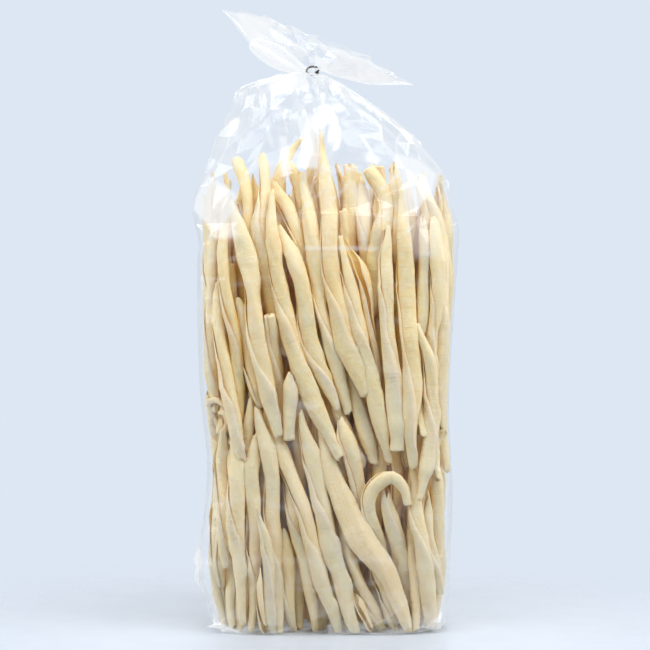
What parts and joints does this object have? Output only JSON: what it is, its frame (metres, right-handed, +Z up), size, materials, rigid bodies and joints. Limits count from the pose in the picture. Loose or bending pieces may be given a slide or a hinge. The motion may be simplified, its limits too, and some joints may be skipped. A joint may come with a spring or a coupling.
{
  "type": "bagged fusilli pasta",
  "caption": "Clear film bag of long hand-rolled fusilli pasta in two upright tiers, standing on its base, its neck gathered in a wire clip under a ruffled mouth.",
  "frame": {"origin": "middle of the flat base, on the surface that the bag stands on", "axes": "+Z up along the bag towards its neck, +X along its width to the right of the front, +Y along its depth towards the back; the front faces -Y"},
  "size_m": [0.1104, 0.0683, 0.262],
  "materials": {
    "pasta": "dry, matte rolled dough of a pale cream colour, finely mottled, with thin curled edges",
    "film": "thin clear glossy packing film with creases, pleats and small wrinkles",
    "wire": "thin dark bent wire with worn bright ends"
  },
  "bodies": {
    "root": {"bag": "pasta", "clip": "wire"}
  },
  "joints": []
}
